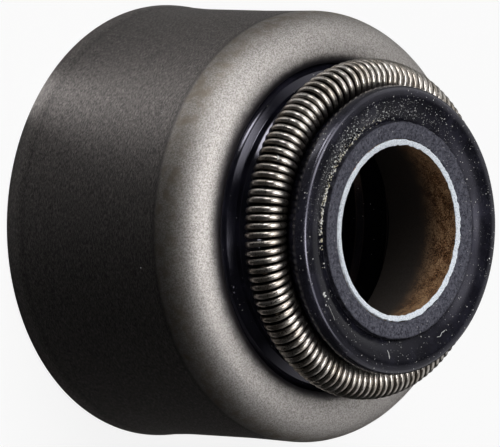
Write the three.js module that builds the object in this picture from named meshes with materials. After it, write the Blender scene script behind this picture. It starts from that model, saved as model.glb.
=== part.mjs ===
// Valve stem seal, standing on the rear rim of its steel shell with the front lip up.
// Millimetres, +Z up, the seal's axis is the Z axis. All pieces but the spring are turned:
// a profile's points are [radius, height].
import * as THREE from 'three';

// Flats round every turned piece.
const ROUND_SEGMENTS = 48;

// Gap kept between pieces that are moulded or seated into each other.
const CLEARANCE = 0.03;

// Small chamfer on the edges of the turned pieces.
const EDGE = 0.12;

// Valve guide that the rear socket grips.
const GUIDE_DIAMETER = 13.0;

const SHELL = {
  wall: 0.8,
  rimRadius: 8.5,
  flareRadius: 8.42,
  flareHeight: 0.8,
  backRadius: 8.33,
  backHeight: 2.0,
  frontRadius: 8.23,
  frontHeight: 6.2,
  cornerRadius: 1.53,
  cornerHeight: 8.0,
  noseInset: 0.05,
  insideChamfer: 0.22,
};

const SPRING = {
  ringRadius: 5.65,
  height: 11.0,
  coilRadius: 0.66,
  wireRadius: 0.12,
  turns: 120,
  jointTurns: 3,
  jointStretch: 3.85,
  jointStart: -164.2,
  stepsPerTurn: 8,
  wireSides: 4,
};

const LINER = {
  wall: 0.28,
  mouthRadius: 3.185,
  mouthHeight: 12.507,
  edgeRadius: 3.403,
  edgeHeight: 12.554,
  edgeBreak: 0.05,
  rearRadius: 4.38,
  rearHeight: 7.96,
};

const SOCKET = {
  startHeight: 0.6,
  liningWall: 0.62,
  stopHeight: 8.0,
  stopCorner: 0.35,
  ribSqueeze: 0.05,
  ribFirst: 2.4,
  ribPitch: 1.7,
  ribCount: 3,
  ribFoot: 0.45,
  ribCrown: 0.12,
};

const COLLAR = {
  radius: 6.1,
  topHeight: 9.55,
  ridgeRadius: 5.7,
  ridgeFoot: 9.65,
  ridgeHeight: 9.95,
  neckRadius: 5.33,
  neckHeight: 10.15,
};

const HEAD = {
  seatStart: 245,
  seatEnd: 128,
  lipRadius: 5.31,
  lipHeight: 11.95,
  crestRadius: 4.98,
  crestHeight: 12.29,
  crestRound: 0.45,
  dishFloor: 12.36,
  innerRingRadius: 4.07,
  innerRingHeight: 12.58,
};

// Centres of the shell's corner and of its curled-in nose. The rubber under them uses them too.
const CORNER_R = SHELL.frontRadius - SHELL.cornerRadius;
const NOSE_RADIUS = SHELL.wall / 2;
const NOSE_R = CORNER_R - SHELL.noseInset;
const NOSE_Z = SHELL.cornerHeight + SHELL.cornerRadius - NOSE_RADIUS;

const SHELL_INNER = SHELL.frontRadius - SHELL.wall;
const LINING_OUTER = SHELL_INNER - CLEARANCE;
const SOCKET_RADIUS = LINING_OUTER - SOCKET.liningWall;

// Points of an arc in a profile, angles in degrees from outwards towards up.
function arc(centreR, centreZ, radius, from, to, steps) {
  const points = [];
  for (let i = 0; i <= steps; i += 1) {
    const angle = THREE.MathUtils.degToRad(from + (to - from) * (i / steps));
    points.push([centreR + radius * Math.cos(angle), centreZ + radius * Math.sin(angle)]);
  }
  return points;
}

// Turns a closed profile about Z. Its points go up the outer side and down the bore.
function turned(name, profile, material) {
  const closed = [...profile, profile[0]];
  const points = closed.map(([r, z]) => new THREE.Vector2(r, z));
  const geometry = new THREE.LatheGeometry(points, ROUND_SEGMENTS);
  geometry.rotateX(Math.PI / 2);
  const mesh = new THREE.Mesh(geometry, material);
  mesh.name = name;
  return mesh;
}

// Drawn steel cup: flared rim, straight wall, round corner and a nose curled in to the hole.
function shellProfile() {
  const wall = [
    [SHELL.rimRadius - EDGE, 0],
    [SHELL.rimRadius, EDGE],
    [SHELL.flareRadius, SHELL.flareHeight],
    [SHELL.backRadius, SHELL.backHeight],
    [SHELL.frontRadius, SHELL.frontHeight],
  ];
  const corner = arc(CORNER_R, SHELL.cornerHeight, SHELL.cornerRadius, 0, 90, 9);
  const nose = arc(NOSE_R, NOSE_Z, NOSE_RADIUS, 90, 270, 6);
  const insideCorner = arc(CORNER_R, SHELL.cornerHeight, SHELL.cornerRadius - SHELL.wall, 90, 0, 4);
  const insideWall = [
    [SHELL_INNER, SHELL.insideChamfer],
    [SHELL_INNER + SHELL.insideChamfer, 0],
  ];
  return [...wall, ...corner, ...nose, ...insideCorner, ...insideWall];
}

// Rubber that lines the shell and comes out through its hole.
function liningOutside() {
  const cornerRadius = SHELL.cornerRadius - SHELL.wall - CLEARANCE;
  return [
    [LINING_OUTER - EDGE, SOCKET.startHeight],
    [LINING_OUTER, SOCKET.startHeight + EDGE],
    ...arc(CORNER_R, SHELL.cornerHeight, cornerRadius, 0, 90, 4),
    ...arc(NOSE_R, NOSE_Z, NOSE_RADIUS + CLEARANCE, 270, 180, 3),
  ];
}

function collarAndNeck() {
  return [
    [COLLAR.radius, NOSE_Z + EDGE],
    [COLLAR.radius, COLLAR.topHeight - EDGE],
    [COLLAR.radius - EDGE, COLLAR.topHeight],
    [COLLAR.ridgeRadius, COLLAR.ridgeFoot],
    [COLLAR.ridgeRadius, COLLAR.ridgeHeight],
    [COLLAR.neckRadius, COLLAR.neckHeight],
  ];
}

// Round seat for the spring, the overhanging lip above it and the rounded crest.
function headOutside() {
  const seatRadius = SPRING.coilRadius + SPRING.wireRadius + CLEARANCE;
  return [
    ...arc(SPRING.ringRadius, SPRING.height, seatRadius, HEAD.seatStart, HEAD.seatEnd, 7),
    [HEAD.lipRadius, HEAD.lipHeight],
    ...arc(HEAD.crestRadius, HEAD.crestHeight, HEAD.crestRound, -10, 100, 6),
  ];
}

// Dished face, the step up to the inner ring and the edge of the liner's seat.
function headFace() {
  const seatEdge = LINER.edgeRadius + CLEARANCE;
  return [
    [HEAD.innerRingRadius, HEAD.dishFloor],
    [HEAD.innerRingRadius, HEAD.innerRingHeight - EDGE / 2],
    [HEAD.innerRingRadius - EDGE / 2, HEAD.innerRingHeight],
    [seatEdge + LINER.edgeBreak, LINER.edgeHeight - LINER.edgeBreak / 2],
    [seatEdge, LINER.edgeHeight - LINER.edgeBreak],
  ];
}

// Outer radius of the liner at a height: a cone that widens towards the rear.
function linerOutside(z) {
  const depth = (LINER.mouthHeight - z) / (LINER.mouthHeight - LINER.rearHeight);
  return LINER.edgeRadius + (LINER.rearRadius + LINER.wall - LINER.edgeRadius) * depth;
}

function gripRib(height) {
  const crownRadius = GUIDE_DIAMETER / 2 - SOCKET.ribSqueeze;
  return [
    [SOCKET_RADIUS, height + SOCKET.ribFoot],
    [crownRadius, height + SOCKET.ribCrown],
    [crownRadius, height - SOCKET.ribCrown],
    [SOCKET_RADIUS, height - SOCKET.ribFoot],
  ];
}

// Down from the liner's seat: the stop for the guide's end, then the ribbed socket wall.
function socketInside() {
  const seatFoot = SOCKET.stopHeight + EDGE;
  const points = [
    [linerOutside(seatFoot) + CLEARANCE, seatFoot],
    [linerOutside(seatFoot) + CLEARANCE + EDGE, SOCKET.stopHeight],
    [SOCKET_RADIUS - SOCKET.stopCorner, SOCKET.stopHeight],
    [SOCKET_RADIUS, SOCKET.stopHeight - SOCKET.stopCorner],
  ];
  for (let i = SOCKET.ribCount - 1; i >= 0; i -= 1) {
    points.push(...gripRib(SOCKET.ribFirst + i * SOCKET.ribPitch));
  }
  points.push([SOCKET_RADIUS, SOCKET.startHeight + EDGE]);
  points.push([SOCKET_RADIUS + EDGE, SOCKET.startHeight]);
  return points;
}

function rubberProfile() {
  return [
    ...liningOutside(),
    ...collarAndNeck(),
    ...headOutside(),
    ...headFace(),
    ...socketInside(),
  ];
}

// Thin cone of the liner, with its bevelled white edge at the mouth.
function linerProfile() {
  const chamferTop = LINER.rearHeight + EDGE;
  return [
    [LINER.rearRadius, LINER.rearHeight],
    [linerOutside(chamferTop) - EDGE, LINER.rearHeight],
    [linerOutside(chamferTop), chamferTop],
    [LINER.edgeRadius, LINER.edgeHeight - LINER.edgeBreak],
    [LINER.edgeRadius - LINER.edgeBreak / 2, LINER.edgeHeight],
    [LINER.mouthRadius, LINER.mouthHeight],
  ];
}

// Centre line of the garter spring's wire: a helix bent round to a closed ring, with
// its first turns drawn a little apart where the two ends are screwed together.
class GarterCoil extends THREE.Curve {
  getPoint(t, target = new THREE.Vector3()) {
    const turn = t * SPRING.turns;
    const pitch = (360 - SPRING.jointStretch) / SPRING.turns;
    const stretch = SPRING.jointStretch * Math.min(turn / SPRING.jointTurns, 1);
    const around = THREE.MathUtils.degToRad(SPRING.jointStart + turn * pitch + stretch);
    const twist = -2 * Math.PI * turn;
    const radius = SPRING.ringRadius + SPRING.coilRadius * Math.cos(twist);
    return target.set(
      radius * Math.cos(around),
      radius * Math.sin(around),
      SPRING.height + SPRING.coilRadius * Math.sin(twist),
    );
  }
}

function garterSpring(material) {
  const path = new GarterCoil();
  const steps = SPRING.turns * SPRING.stepsPerTurn;
  path.arcLengthDivisions = steps * 4;
  const geometry = new THREE.TubeGeometry(path, steps, SPRING.wireRadius, SPRING.wireSides, true);
  const mesh = new THREE.Mesh(geometry, material);
  mesh.name = 'garter_spring';
  return mesh;
}

const satinSteel = new THREE.MeshStandardMaterial({ color: 0x77726c, roughness: 0.5, metalness: 1 });
const blackRubber = new THREE.MeshStandardMaterial({ color: 0x14161a, roughness: 0.55, metalness: 0 });
const springWire = new THREE.MeshStandardMaterial({ color: 0x9a9182, roughness: 0.35, metalness: 1 });
const paleLiner = new THREE.MeshStandardMaterial({ color: 0xb9b4a8, roughness: 0.7, metalness: 0 });

const seal = new THREE.Group();
seal.name = 'valve_stem_seal';
seal.add(turned('steel_shell', shellProfile(), satinSteel));
seal.add(turned('rubber_body', rubberProfile(), blackRubber));
seal.add(garterSpring(springWire));
seal.add(turned('stem_liner', linerProfile(), paleLiner));

export default seal;
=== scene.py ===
"""Looks of a valve stem seal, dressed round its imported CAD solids.

Sizes in the classes are millimetres in the part's own frame: +Z is the seal's axis, from the
shell's rear rim at height zero up to the front lip. Angles are degrees about +Z, from +X.
"""

import logging
import math
import random
from dataclasses import dataclass, field
from enum import Enum
from typing import Callable, Optional, Union

import bmesh
import bpy
from mathutils import Matrix, Vector, noise


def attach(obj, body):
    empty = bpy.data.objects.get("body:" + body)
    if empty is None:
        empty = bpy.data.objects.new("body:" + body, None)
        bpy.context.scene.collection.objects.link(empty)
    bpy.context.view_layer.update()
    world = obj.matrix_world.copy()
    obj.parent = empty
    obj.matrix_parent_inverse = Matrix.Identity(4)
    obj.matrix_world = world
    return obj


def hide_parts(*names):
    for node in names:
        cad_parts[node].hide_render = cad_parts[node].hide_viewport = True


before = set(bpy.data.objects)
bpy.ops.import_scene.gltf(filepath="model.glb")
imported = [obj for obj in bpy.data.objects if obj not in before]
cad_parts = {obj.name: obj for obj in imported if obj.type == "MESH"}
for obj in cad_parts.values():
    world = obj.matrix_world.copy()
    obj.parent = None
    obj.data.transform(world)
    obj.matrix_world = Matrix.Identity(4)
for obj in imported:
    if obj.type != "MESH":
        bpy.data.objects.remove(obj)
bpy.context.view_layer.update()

MM = 0.001
FACE_START = 12.2  # height above which the rubber's section is its face
ROUNDED_SHARE = 0.45  # largest part of an edge that the rounding of its corner may take
log = logging.getLogger("valve_stem_seal")

Socket = bpy.types.NodeSocket
Section = list[bmesh.types.BMVert]
Triple = tuple[float, float, float]
Colour = Triple
Source = Union[Socket, float]
Shaper = Callable[[float, float, float], tuple[float, float]]


def direction(azimuth: float, elevation: float) -> Vector:
    """Gives the unit vector that points along an azimuth and an elevation.

    Args:
        azimuth: angle about +Z from +X, in degrees.
        elevation: angle above the floor, in degrees.

    Returns:
        The unit vector.
    """
    turn = math.radians(azimuth)
    rise = math.radians(elevation)
    return Vector((math.cos(rise) * math.cos(turn), math.cos(rise) * math.sin(turn), math.sin(rise)))


def wrapped(angle: float) -> float:
    """Brings an angle in degrees between -180 and 180."""
    return (angle + 180.0) % 360.0 - 180.0


def smooth(value: float, low: float, high: float) -> float:
    """Rises smoothly from zero at low to one at high."""
    share = min(1.0, max(0.0, (value - low) / (high - low)))
    return share * share * (3.0 - 2.0 * share)


class Slot(Enum):
    """Material slots of the record, named alongside each piece's finish."""

    STEEL = "satin_steel"
    RUBBER = "black_rubber"
    WIRE = "spring_wire"
    LINER = "pale_liner"


@dataclass
class Profile:
    """A closed outline in the plane of radius and height, with a rounding at each corner.

    Attributes:
        points: radius, height and rounding of each corner, in millimetres.
    """

    points: list[tuple[float, float, float]] = field(default_factory=list)

    def corner(self, radius: float, height: float, rounding: float = 0.0) -> "Profile":
        """Adds a corner.

        Args:
            radius: distance from the axis.
            height: height above the rear rim.
            rounding: radius of the corner's own round, zero for a sharp one.

        Returns:
            This profile, so that calls can follow each other.
        """
        self.points.append((radius, height, rounding))
        return self

    def arc(
        self, radius: float, height: float, bend: float, start: float, end: float, steps: int
    ) -> "Profile":
        """Adds points along an arc.

        Args:
            radius: the arc centre's distance from the axis.
            height: the arc centre's height.
            bend: radius of the arc.
            start: first angle in degrees, from outwards towards up.
            end: last angle in degrees.
            steps: number of chords.

        Returns:
            This profile.
        """
        for i in range(steps + 1):
            angle = math.radians(start + (end - start) * i / steps)
            self.corner(radius + bend * math.cos(angle), height + bend * math.sin(angle))
        return self

    def outline(self, steps: int = 5) -> list[tuple[float, float]]:
        """Works out the outline with its corners rounded.

        Args:
            steps: chords in each corner's round.

        Returns:
            Radius and height of each point in order.
        """
        result: list[tuple[float, float]] = []
        count = len(self.points)
        for i, (radius, height, rounding) in enumerate(self.points):
            here = Vector((radius, height))
            if rounding <= 0.0:
                result.append((radius, height))
                continue
            before = Vector(self.points[i - 1][:2]) - here
            after = Vector(self.points[(i + 1) % count][:2]) - here
            reach = min(rounding, before.length * ROUNDED_SHARE, after.length * ROUNDED_SHARE)
            start = here + before.normalized() * reach
            end = here + after.normalized() * reach
            for k in range(steps + 1):
                t = k / steps
                point = start * (1 - t) ** 2 + here * (2 * t * (1 - t)) + end * t ** 2
                result.append((point.x, point.y))
        return result


class Maker:
    """Turns outlines and point lists into Blender objects."""

    @staticmethod
    def finish_mesh(name: str, work: bmesh.types.BMesh, sharp_degrees: float = 40.0) -> bpy.types.Object:
        """Stores a bmesh as an object with smooth faces and sharp edges.

        Args:
            name: name of the piece.
            work: the bmesh, in metres, which is freed.
            sharp_degrees: edges that turn more than this stay sharp.

        Returns:
            The new object, linked to the scene.
        """
        bmesh.ops.recalc_face_normals(work, faces=work.faces[:])
        mesh = bpy.data.meshes.new(name)
        work.to_mesh(mesh)
        work.free()
        mesh.shade_smooth()
        mesh.set_sharp_from_angle(angle=math.radians(sharp_degrees))
        piece = bpy.data.objects.new(name, mesh)
        bpy.context.scene.collection.objects.link(piece)
        return piece

    @staticmethod
    def turned(
        name: str,
        outline: list[tuple[float, float]],
        segments: int,
        shaper: Optional[Shaper] = None,
    ) -> bpy.types.Object:
        """Turns a closed outline about the Z axis.

        Args:
            name: name of the piece.
            outline: radius and height of each point, in millimetres.
            segments: faces round the piece.
            shaper: gives the radius and height to use at a radius, height and angle in radians.

        Returns:
            The new object.
        """
        work = bmesh.new()
        rings = []
        for radius, height in outline:
            ring = []
            for i in range(segments):
                angle = 2 * math.pi * i / segments
                r, z = shaper(radius, height, angle) if shaper else (radius, height)
                ring.append(work.verts.new((r * MM * math.cos(angle), r * MM * math.sin(angle), z * MM)))
            rings.append(ring)
        for j, ring in enumerate(rings):
            above = rings[(j + 1) % len(rings)]
            for i in range(segments):
                k = (i + 1) % segments
                work.faces.new((ring[i], ring[k], above[k], above[i]))
        return Maker.finish_mesh(name, work)

    @staticmethod
    def ring_section(
        work: bmesh.types.BMesh, centre: Vector, across: Vector, up: Vector, radius: float, sides: int
    ) -> Section:
        """Adds the points of one round section of a wire.

        Args:
            work: the bmesh that gets the points.
            centre: middle of the section, in metres.
            across: unit direction in the section.
            up: the other unit direction in the section.
            radius: the wire's radius, in metres.
            sides: number of points.

        Returns:
            The new points in order.
        """
        section = []
        for i in range(sides):
            angle = 2 * math.pi * i / sides
            offset = (across * math.cos(angle) + up * math.sin(angle)) * radius
            section.append(work.verts.new(centre + offset))
        return section

    @staticmethod
    def bridge(work: bmesh.types.BMesh, first: Section, second: Section) -> None:
        """Joins two sections with a band of faces.

        Args:
            work: the bmesh that holds both sections.
            first: points of one section.
            second: points of the other, in the same order.
        """
        count = len(first)
        for i in range(count):
            k = (i + 1) % count
            work.faces.new((first[i], first[k], second[k], second[i]))


class Recipe:
    """A material's node tree, with short methods for the nodes that the finishes use."""

    def __init__(self, name: str) -> None:
        """Starts a material with an empty principled shader.

        Args:
            name: name of the material.
        """
        self.material = bpy.data.materials.new(name)
        self.material.use_nodes = True
        self.tree = self.material.node_tree
        self.shader = self.tree.nodes["Principled BSDF"]
        self.place = self.add("ShaderNodeTexCoord").outputs["Object"]

    def add(self, kind: str) -> bpy.types.Node:
        """Adds a node of a kind and returns it."""
        return self.tree.nodes.new(kind)

    def feed(self, target: Socket, source: Source) -> None:
        """Links a socket or sets a number.

        Args:
            target: the input to feed.
            source: an output to link, or a value to set.
        """
        if isinstance(source, Socket):
            self.tree.links.new(source, target)
        else:
            target.default_value = source

    def wire(self, name: str, source: Source) -> None:
        """Feeds one of the shader's inputs by its name."""
        self.feed(self.shader.inputs[name], source)

    def calc(self, operation: str, first: Source, second: Source = 0.0, clamp: bool = False) -> Socket:
        """Adds a maths node.

        Args:
            operation: Blender's name of the operation.
            first: first value.
            second: second value.
            clamp: keeps the result between zero and one.

        Returns:
            The result.
        """
        node = self.add("ShaderNodeMath")
        node.operation = operation
        node.use_clamp = clamp
        self.feed(node.inputs[0], first)
        self.feed(node.inputs[1], second)
        return node.outputs[0]

    def scaled(self, scale: Triple) -> Socket:
        """Stretches the object's own coordinates.

        Args:
            scale: factor along each axis.

        Returns:
            The stretched coordinates.
        """
        node = self.add("ShaderNodeMapping")
        self.feed(node.inputs["Vector"], self.place)
        node.inputs["Scale"].default_value = scale
        return node.outputs[0]

    def coordinate(self, axis: str) -> Socket:
        """Gives the position along one axis.

        Args:
            axis: X, Y or Z.

        Returns:
            The position, in millimetres.
        """
        node = self.add("ShaderNodeSeparateXYZ")
        self.feed(node.inputs[0], self.place)
        return self.calc("MULTIPLY", node.outputs[axis], 1 / MM)

    def height(self) -> Socket:
        """Gives the height above the rear rim, in millimetres."""
        return self.coordinate("Z")

    def radius(self) -> Socket:
        """Works out the distance from the seal's axis.

        Returns:
            The distance, in millimetres.
        """
        flat = self.add("ShaderNodeVectorMath")
        flat.operation = "MULTIPLY"
        self.feed(flat.inputs[0], self.place)
        flat.inputs[1].default_value = (1 / MM, 1 / MM, 0.0)
        length = self.add("ShaderNodeVectorMath")
        length.operation = "LENGTH"
        self.feed(length.inputs[0], flat.outputs[0])
        return length.outputs["Value"]

    def noise(
        self, size: float, detail: float = 2.0, rough: float = 0.5, stretch: Optional[Triple] = None
    ) -> Socket:
        """Adds a noise texture.

        Args:
            size: size of its features, in millimetres.
            detail: number of finer octaves.
            rough: strength of the finer octaves.
            stretch: factor of the coordinates along each axis.

        Returns:
            The noise, from zero to one.
        """
        node = self.add("ShaderNodeTexNoise")
        self.feed(node.inputs["Vector"], self.scaled(stretch) if stretch else self.place)
        node.inputs["Scale"].default_value = 1 / (size * MM)
        node.inputs["Detail"].default_value = detail
        node.inputs["Roughness"].default_value = rough
        return node.outputs["Fac"]

    def cells(self, size: float) -> tuple[Socket, Socket]:
        """Adds a cell texture.

        Args:
            size: distance between the cells, in millimetres.

        Returns:
            The distance from the cell's middle, and a random value for each cell.
        """
        node = self.add("ShaderNodeTexVoronoi")
        self.feed(node.inputs["Vector"], self.place)
        node.inputs["Scale"].default_value = 1 / (size * MM)
        split = self.add("ShaderNodeSeparateColor")
        self.feed(split.inputs[0], node.outputs["Color"])
        return node.outputs["Distance"], split.outputs[0]

    def step(self, value: Source, low: float, high: float, start: float = 0.0, end: float = 1.0) -> Socket:
        """Maps a value smoothly from one range to another.

        Args:
            value: the value to map.
            low: where the change starts.
            high: where it ends.
            start: the result below low.
            end: the result above high.

        Returns:
            The mapped value.
        """
        node = self.add("ShaderNodeMapRange")
        node.interpolation_type = "SMOOTHSTEP"
        self.feed(node.inputs["Value"], value)
        node.inputs["From Min"].default_value = low
        node.inputs["From Max"].default_value = high
        node.inputs["To Min"].default_value = start
        node.inputs["To Max"].default_value = end
        return node.outputs["Result"]

    def blend(self, share: Source, first: Union[Socket, Colour], second: Union[Socket, Colour]) -> Socket:
        """Mixes two colours.

        Args:
            share: zero for the first colour, one for the second.
            first: a colour or an output.
            second: a colour or an output.

        Returns:
            The mixed colour.
        """
        node = self.add("ShaderNodeMix")
        node.data_type = "RGBA"
        self.feed(node.inputs[0], share)
        for socket, colour in ((node.inputs[6], first), (node.inputs[7], second)):
            if isinstance(colour, Socket):
                self.feed(socket, colour)
            else:
                socket.default_value = (*colour, 1.0)
        return node.outputs[2]

    def ramp(self, value: Source, stops: list[tuple[float, Colour]]) -> Socket:
        """Adds a colour ramp.

        Args:
            value: position on the ramp.
            stops: position and colour of each stop.

        Returns:
            The ramp's colour.
        """
        node = self.add("ShaderNodeValToRGB")
        self.feed(node.inputs[0], value)
        band = node.color_ramp
        while len(band.elements) < len(stops):
            band.elements.new(1.0)
        for element, (position, colour) in zip(band.elements, stops):
            element.position = position
            element.color = (*colour, 1.0)
        return node.outputs["Color"]

    def relief(self, height: Source, depth: float, strength: float = 1.0) -> None:
        """Adds bump to the shader's normal.

        Args:
            height: the height pattern, from zero to one.
            depth: full depth of the pattern, in millimetres.
            strength: share of the bump.
        """
        node = self.add("ShaderNodeBump")
        node.inputs["Strength"].default_value = strength
        node.inputs["Distance"].default_value = depth * MM
        self.feed(node.inputs["Height"], height)
        if self.shader.inputs["Normal"].is_linked:
            self.feed(node.inputs["Normal"], self.shader.inputs["Normal"].links[0].from_socket)
        self.wire("Normal", node.outputs["Normal"])


@dataclass(frozen=True)
class SteelFinish:
    """Dark satin wall with fine turning streaks, a brighter grainy front corner, and painted shade on the
    curled-in lip and along two thin lines.

    Attributes:
        wall: colour of the straight wall.
        wall_pale: colour of its brightest streaks.
        corner: colour of the front corner.
        corner_dark: colour of the corner's darker grains.
        stain: tint of the brown stains on the corner's outer side.
        lip: colour of the painted shade on the curled-in lip, partly the rubber skin that creeps over it;
            the painted shade lines use it too.
        boundary: height at which the wall's finish gives way to the corner's, with a thin painted shade
            line along it.
        stain_top: height above which the stains fade.
        rim_line: height of the painted shade line behind the rubbed rim.
        rubbed_top: height up to which the rim is rubbed paler.
        lip_radius: radius inside which the lip gets its painted shade.
        lip_shade_lean: how much that radius changes with the place along Y, so that the painted shade
            reaches further out on the -Y side.
        streak_size: size of the wall's streaks.
        grain_size: size of the corner's grains.
        wear_size: size of the worn patches.
        cloud_size: size of the slow changes in the boundary.
    """

    wall: Colour = (0.112, 0.104, 0.103)
    wall_pale: Colour = (0.408, 0.374, 0.354)
    corner: Colour = (0.605, 0.575, 0.556)
    corner_dark: Colour = (0.222, 0.204, 0.190)
    stain: Colour = (0.262, 0.222, 0.176)
    lip: Colour = (0.075, 0.068, 0.072)
    boundary: float = 7.74
    stain_top: float = 9.15
    rim_line: float = 0.86
    rubbed_top: float = 0.72
    lip_radius: float = 6.80
    lip_shade_lean: float = 0.060
    streak_size: float = 0.042
    grain_size: float = 0.062
    wear_size: float = 0.45
    cloud_size: float = 2.4

    def make(self) -> bpy.types.Material:
        """Builds the material.

        Returns:
            The material.
        """
        recipe = Recipe("satin_steel")
        streaks = recipe.noise(self.streak_size, 4.0, 0.80, stretch=(0.34, 0.34, 1.0))
        grain = recipe.noise(self.grain_size, 4.0, 0.88)
        wear = recipe.noise(self.wear_size, 3.0, 0.6)
        clouds = recipe.noise(self.cloud_size, 2.0, 0.5)
        wall = recipe.blend(recipe.step(streaks, 0.38, 0.70), self.wall, self.wall_pale)
        corner = recipe.blend(recipe.step(grain, 0.36, 0.64), self.corner_dark, self.corner)
        low = recipe.step(recipe.height(), self.stain_top - 0.75, self.stain_top, 1.0, 0.0)
        stained = recipe.calc("MULTIPLY", low, recipe.step(wear, 0.40, 0.68, 0.25, 0.85))
        corner = recipe.blend(stained, corner, self.stain)
        edge = recipe.calc("ADD", recipe.height(), recipe.calc("MULTIPLY", clouds, 0.16))
        zone = recipe.step(edge, self.boundary, self.boundary + 0.35)
        bare = recipe.blend(zone, wall, corner)
        rubbed = recipe.calc("ADD", recipe.height(), recipe.calc("MULTIPLY", wear, 0.08))
        rim = recipe.step(rubbed, self.rubbed_top - 0.22, self.rubbed_top, 0.13, 0.0)
        bare = recipe.blend(rim, bare, self.corner)
        # Thin lines of painted shade, as in a crease, along the corner's boundary and behind the rim.
        for height, strength in ((self.boundary, 0.40), (self.rim_line, 0.28)):
            shade_line_offset = recipe.calc("ABSOLUTE", recipe.calc("SUBTRACT", recipe.height(), height))
            bare = recipe.blend(recipe.step(shade_line_offset, 0.01, 0.15, strength, 0.0), bare, self.lip)
        # Painted shade on the curled-in lip, reaching further out on the -Y side; partly the rubber skin
        # that creeps over it.
        radius = recipe.calc("ADD", recipe.radius(), recipe.calc("MULTIPLY", wear, 0.25))
        lean = recipe.calc("MULTIPLY", recipe.coordinate("Y"), self.lip_shade_lean)
        radius = recipe.calc("ADD", radius, lean)
        inward = recipe.step(radius, self.lip_radius - 0.46, self.lip_radius, 1.0, 0.0)
        lip_shade = recipe.calc("MULTIPLY", inward, recipe.step(recipe.height(), 8.9, 9.1))
        recipe.wire("Base Color", recipe.blend(lip_shade, bare, self.lip))
        recipe.shader.inputs["Metallic"].default_value = 1.0
        shine = recipe.step(grain, 0.2, 0.8, 0.42, 0.56)
        recipe.wire("Roughness", recipe.calc("ADD", shine, recipe.calc("MULTIPLY", wear, 0.05)))
        recipe.relief(streaks, 0.008, 0.70)
        recipe.relief(grain, 0.016, 0.70)
        return recipe.material


@dataclass(frozen=True)
class RubberFinish:
    """Blue-black rubber: glossy collar, satin head, a paler cut ring round the mouth and dust.

    Attributes:
        body: the rubber's own colour.
        bloom: colour of its faint bloom.
        cut: colour of the trimmed ring round the liner.
        dust: colour of the dust.
        ring_radius: outer radius of the trimmed ring.
        face_height: height above which the face starts.
        head_height: height above which the satin head starts.
        crest_start: radius outside which the crest is rubbed glossy.
        tint: tint of the gloss.
        skin_size: size of the moulded skin's grain.
        cloud_size: size of the bloom's patches.
        pit_size: size of the pits in the cut ring.
    """

    body: Colour = (0.0036, 0.0036, 0.0062)
    bloom: Colour = (0.0125, 0.0122, 0.0200)
    cut: Colour = (0.108, 0.109, 0.134)
    dust: Colour = (0.560, 0.550, 0.520)
    ring_radius: float = 4.06
    face_height: float = FACE_START
    head_height: float = 10.6
    crest_start: float = 4.98
    tint: Colour = (0.86, 0.84, 1.0)
    skin_size: float = 0.07
    cloud_size: float = 1.1
    pit_size: float = 0.10

    def make(self) -> bpy.types.Material:
        """Builds the material.

        Returns:
            The material.
        """
        recipe = Recipe("black_rubber")
        skin = recipe.noise(self.skin_size, 3.0, 0.6)
        clouds = recipe.noise(self.cloud_size, 3.0, 0.55)
        pits = recipe.noise(self.pit_size, 4.0, 0.80)
        base = recipe.blend(recipe.step(clouds, 0.38, 0.75), self.body, self.bloom)
        ragged = recipe.calc("ADD", recipe.radius(), recipe.calc("MULTIPLY", pits, 0.22))
        inside = recipe.step(ragged, self.ring_radius + 0.06, self.ring_radius + 0.16, 1.0, 0.0)
        face = recipe.step(recipe.height(), self.face_height, self.face_height + 0.1)
        cut_share = recipe.calc("MULTIPLY", inside, face)
        cut = recipe.blend(recipe.step(pits, 0.36, 0.62), self.bloom, self.cut)
        base = recipe.blend(cut_share, base, cut)
        base = recipe.blend(self.dust_share(recipe, face), base, self.dust)
        recipe.wire("Base Color", base)
        head = recipe.step(recipe.height(), self.head_height, self.head_height + 0.4)
        moulded = recipe.step(clouds, 0.3, 0.7, 0.10, 0.14)
        satin = recipe.calc("ADD", moulded, recipe.calc("MULTIPLY", head, 0.14))
        recipe.wire("Roughness", recipe.calc("ADD", satin, recipe.calc("MULTIPLY", cut_share, 0.35)))
        recipe.shader.inputs["Specular Tint"].default_value = (*self.tint, 1.0)
        outer = recipe.step(recipe.radius(), self.crest_start, self.crest_start + 0.12)
        crest = recipe.calc("MULTIPLY", outer, face)
        gloss = recipe.step(head, 0.0, 1.0, 0.75, 0.20)
        recipe.wire("Specular IOR Level", recipe.calc("ADD", gloss, recipe.calc("MULTIPLY", crest, 0.62)))
        recipe.relief(skin, 0.003, 0.40)
        recipe.relief(recipe.calc("MULTIPLY", pits, cut_share), 0.05, 0.8)
        return recipe.material

    def dust_share(self, recipe: Recipe, face: Socket) -> Socket:
        """Works out where dust lies: small dots in a few of the cells, more of them on the face.

        Args:
            recipe: the material's nodes.
            face: one on the seal's face, zero below it.

        Returns:
            One on dust and zero beside it.
        """
        shares = []
        for size, spread, chance in ((0.20, 0.16, 0.66), (0.10, 0.22, 0.80)):
            distance, lot = recipe.cells(size)
            dot = recipe.step(distance, spread * 0.55, spread, 1.0, 0.0)
            picked = recipe.calc("GREATER_THAN", lot, recipe.step(face, 0.0, 1.0, 0.97, chance))
            shares.append(recipe.calc("MULTIPLY", dot, picked))
        patches = recipe.step(recipe.noise(0.9, 2.0, 0.6), 0.42, 0.64, 0.15, 1.0)
        powder = recipe.step(recipe.noise(0.035, 2.0, 0.7), 0.60, 0.72, 0.0, 0.14)
        powder = recipe.calc("MULTIPLY", recipe.calc("MULTIPLY", powder, face), patches)
        dots = recipe.calc("MULTIPLY", recipe.calc("MAXIMUM", shares[0], shares[1]), patches)
        return recipe.calc("MAXIMUM", dots, powder)


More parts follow.
